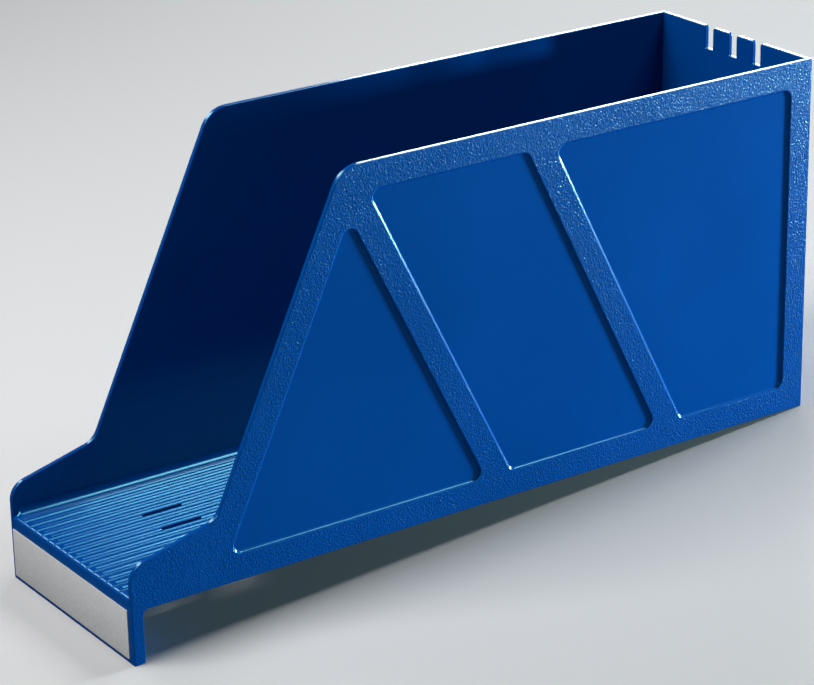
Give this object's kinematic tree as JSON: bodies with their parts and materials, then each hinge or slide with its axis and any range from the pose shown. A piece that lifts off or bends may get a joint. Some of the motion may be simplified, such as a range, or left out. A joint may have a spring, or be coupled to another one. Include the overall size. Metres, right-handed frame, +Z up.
{
  "type": "magazine file holder",
  "caption": "Open-topped blue plastic magazine file with cut-away sides, a grooved floor, recessed side fields and a label lip that hangs in front of the shelf.",
  "frame": {"origin": "centre of the bounding box in X and Y, at the level of the label lip's lower edge; the base plane that stands on a shelf is 22.5 mm above it", "axes": "+X across the holder, to the right seen from the label; +Y from the label lip to the rear wall; +Z up"},
  "size_m": [0.097, 0.3366, 0.1795],
  "materials": {
    "blue_polystyrene": "moulded in deep blue, spark-eroded grain on the outer frame, smooth in the recessed fields and inside",
    "label_paper": "blank off-white label paper, matt"
  },
  "bodies": {
    "root": {"holder_body": "blue_polystyrene", "front_label": "label_paper"}
  },
  "joints": []
}
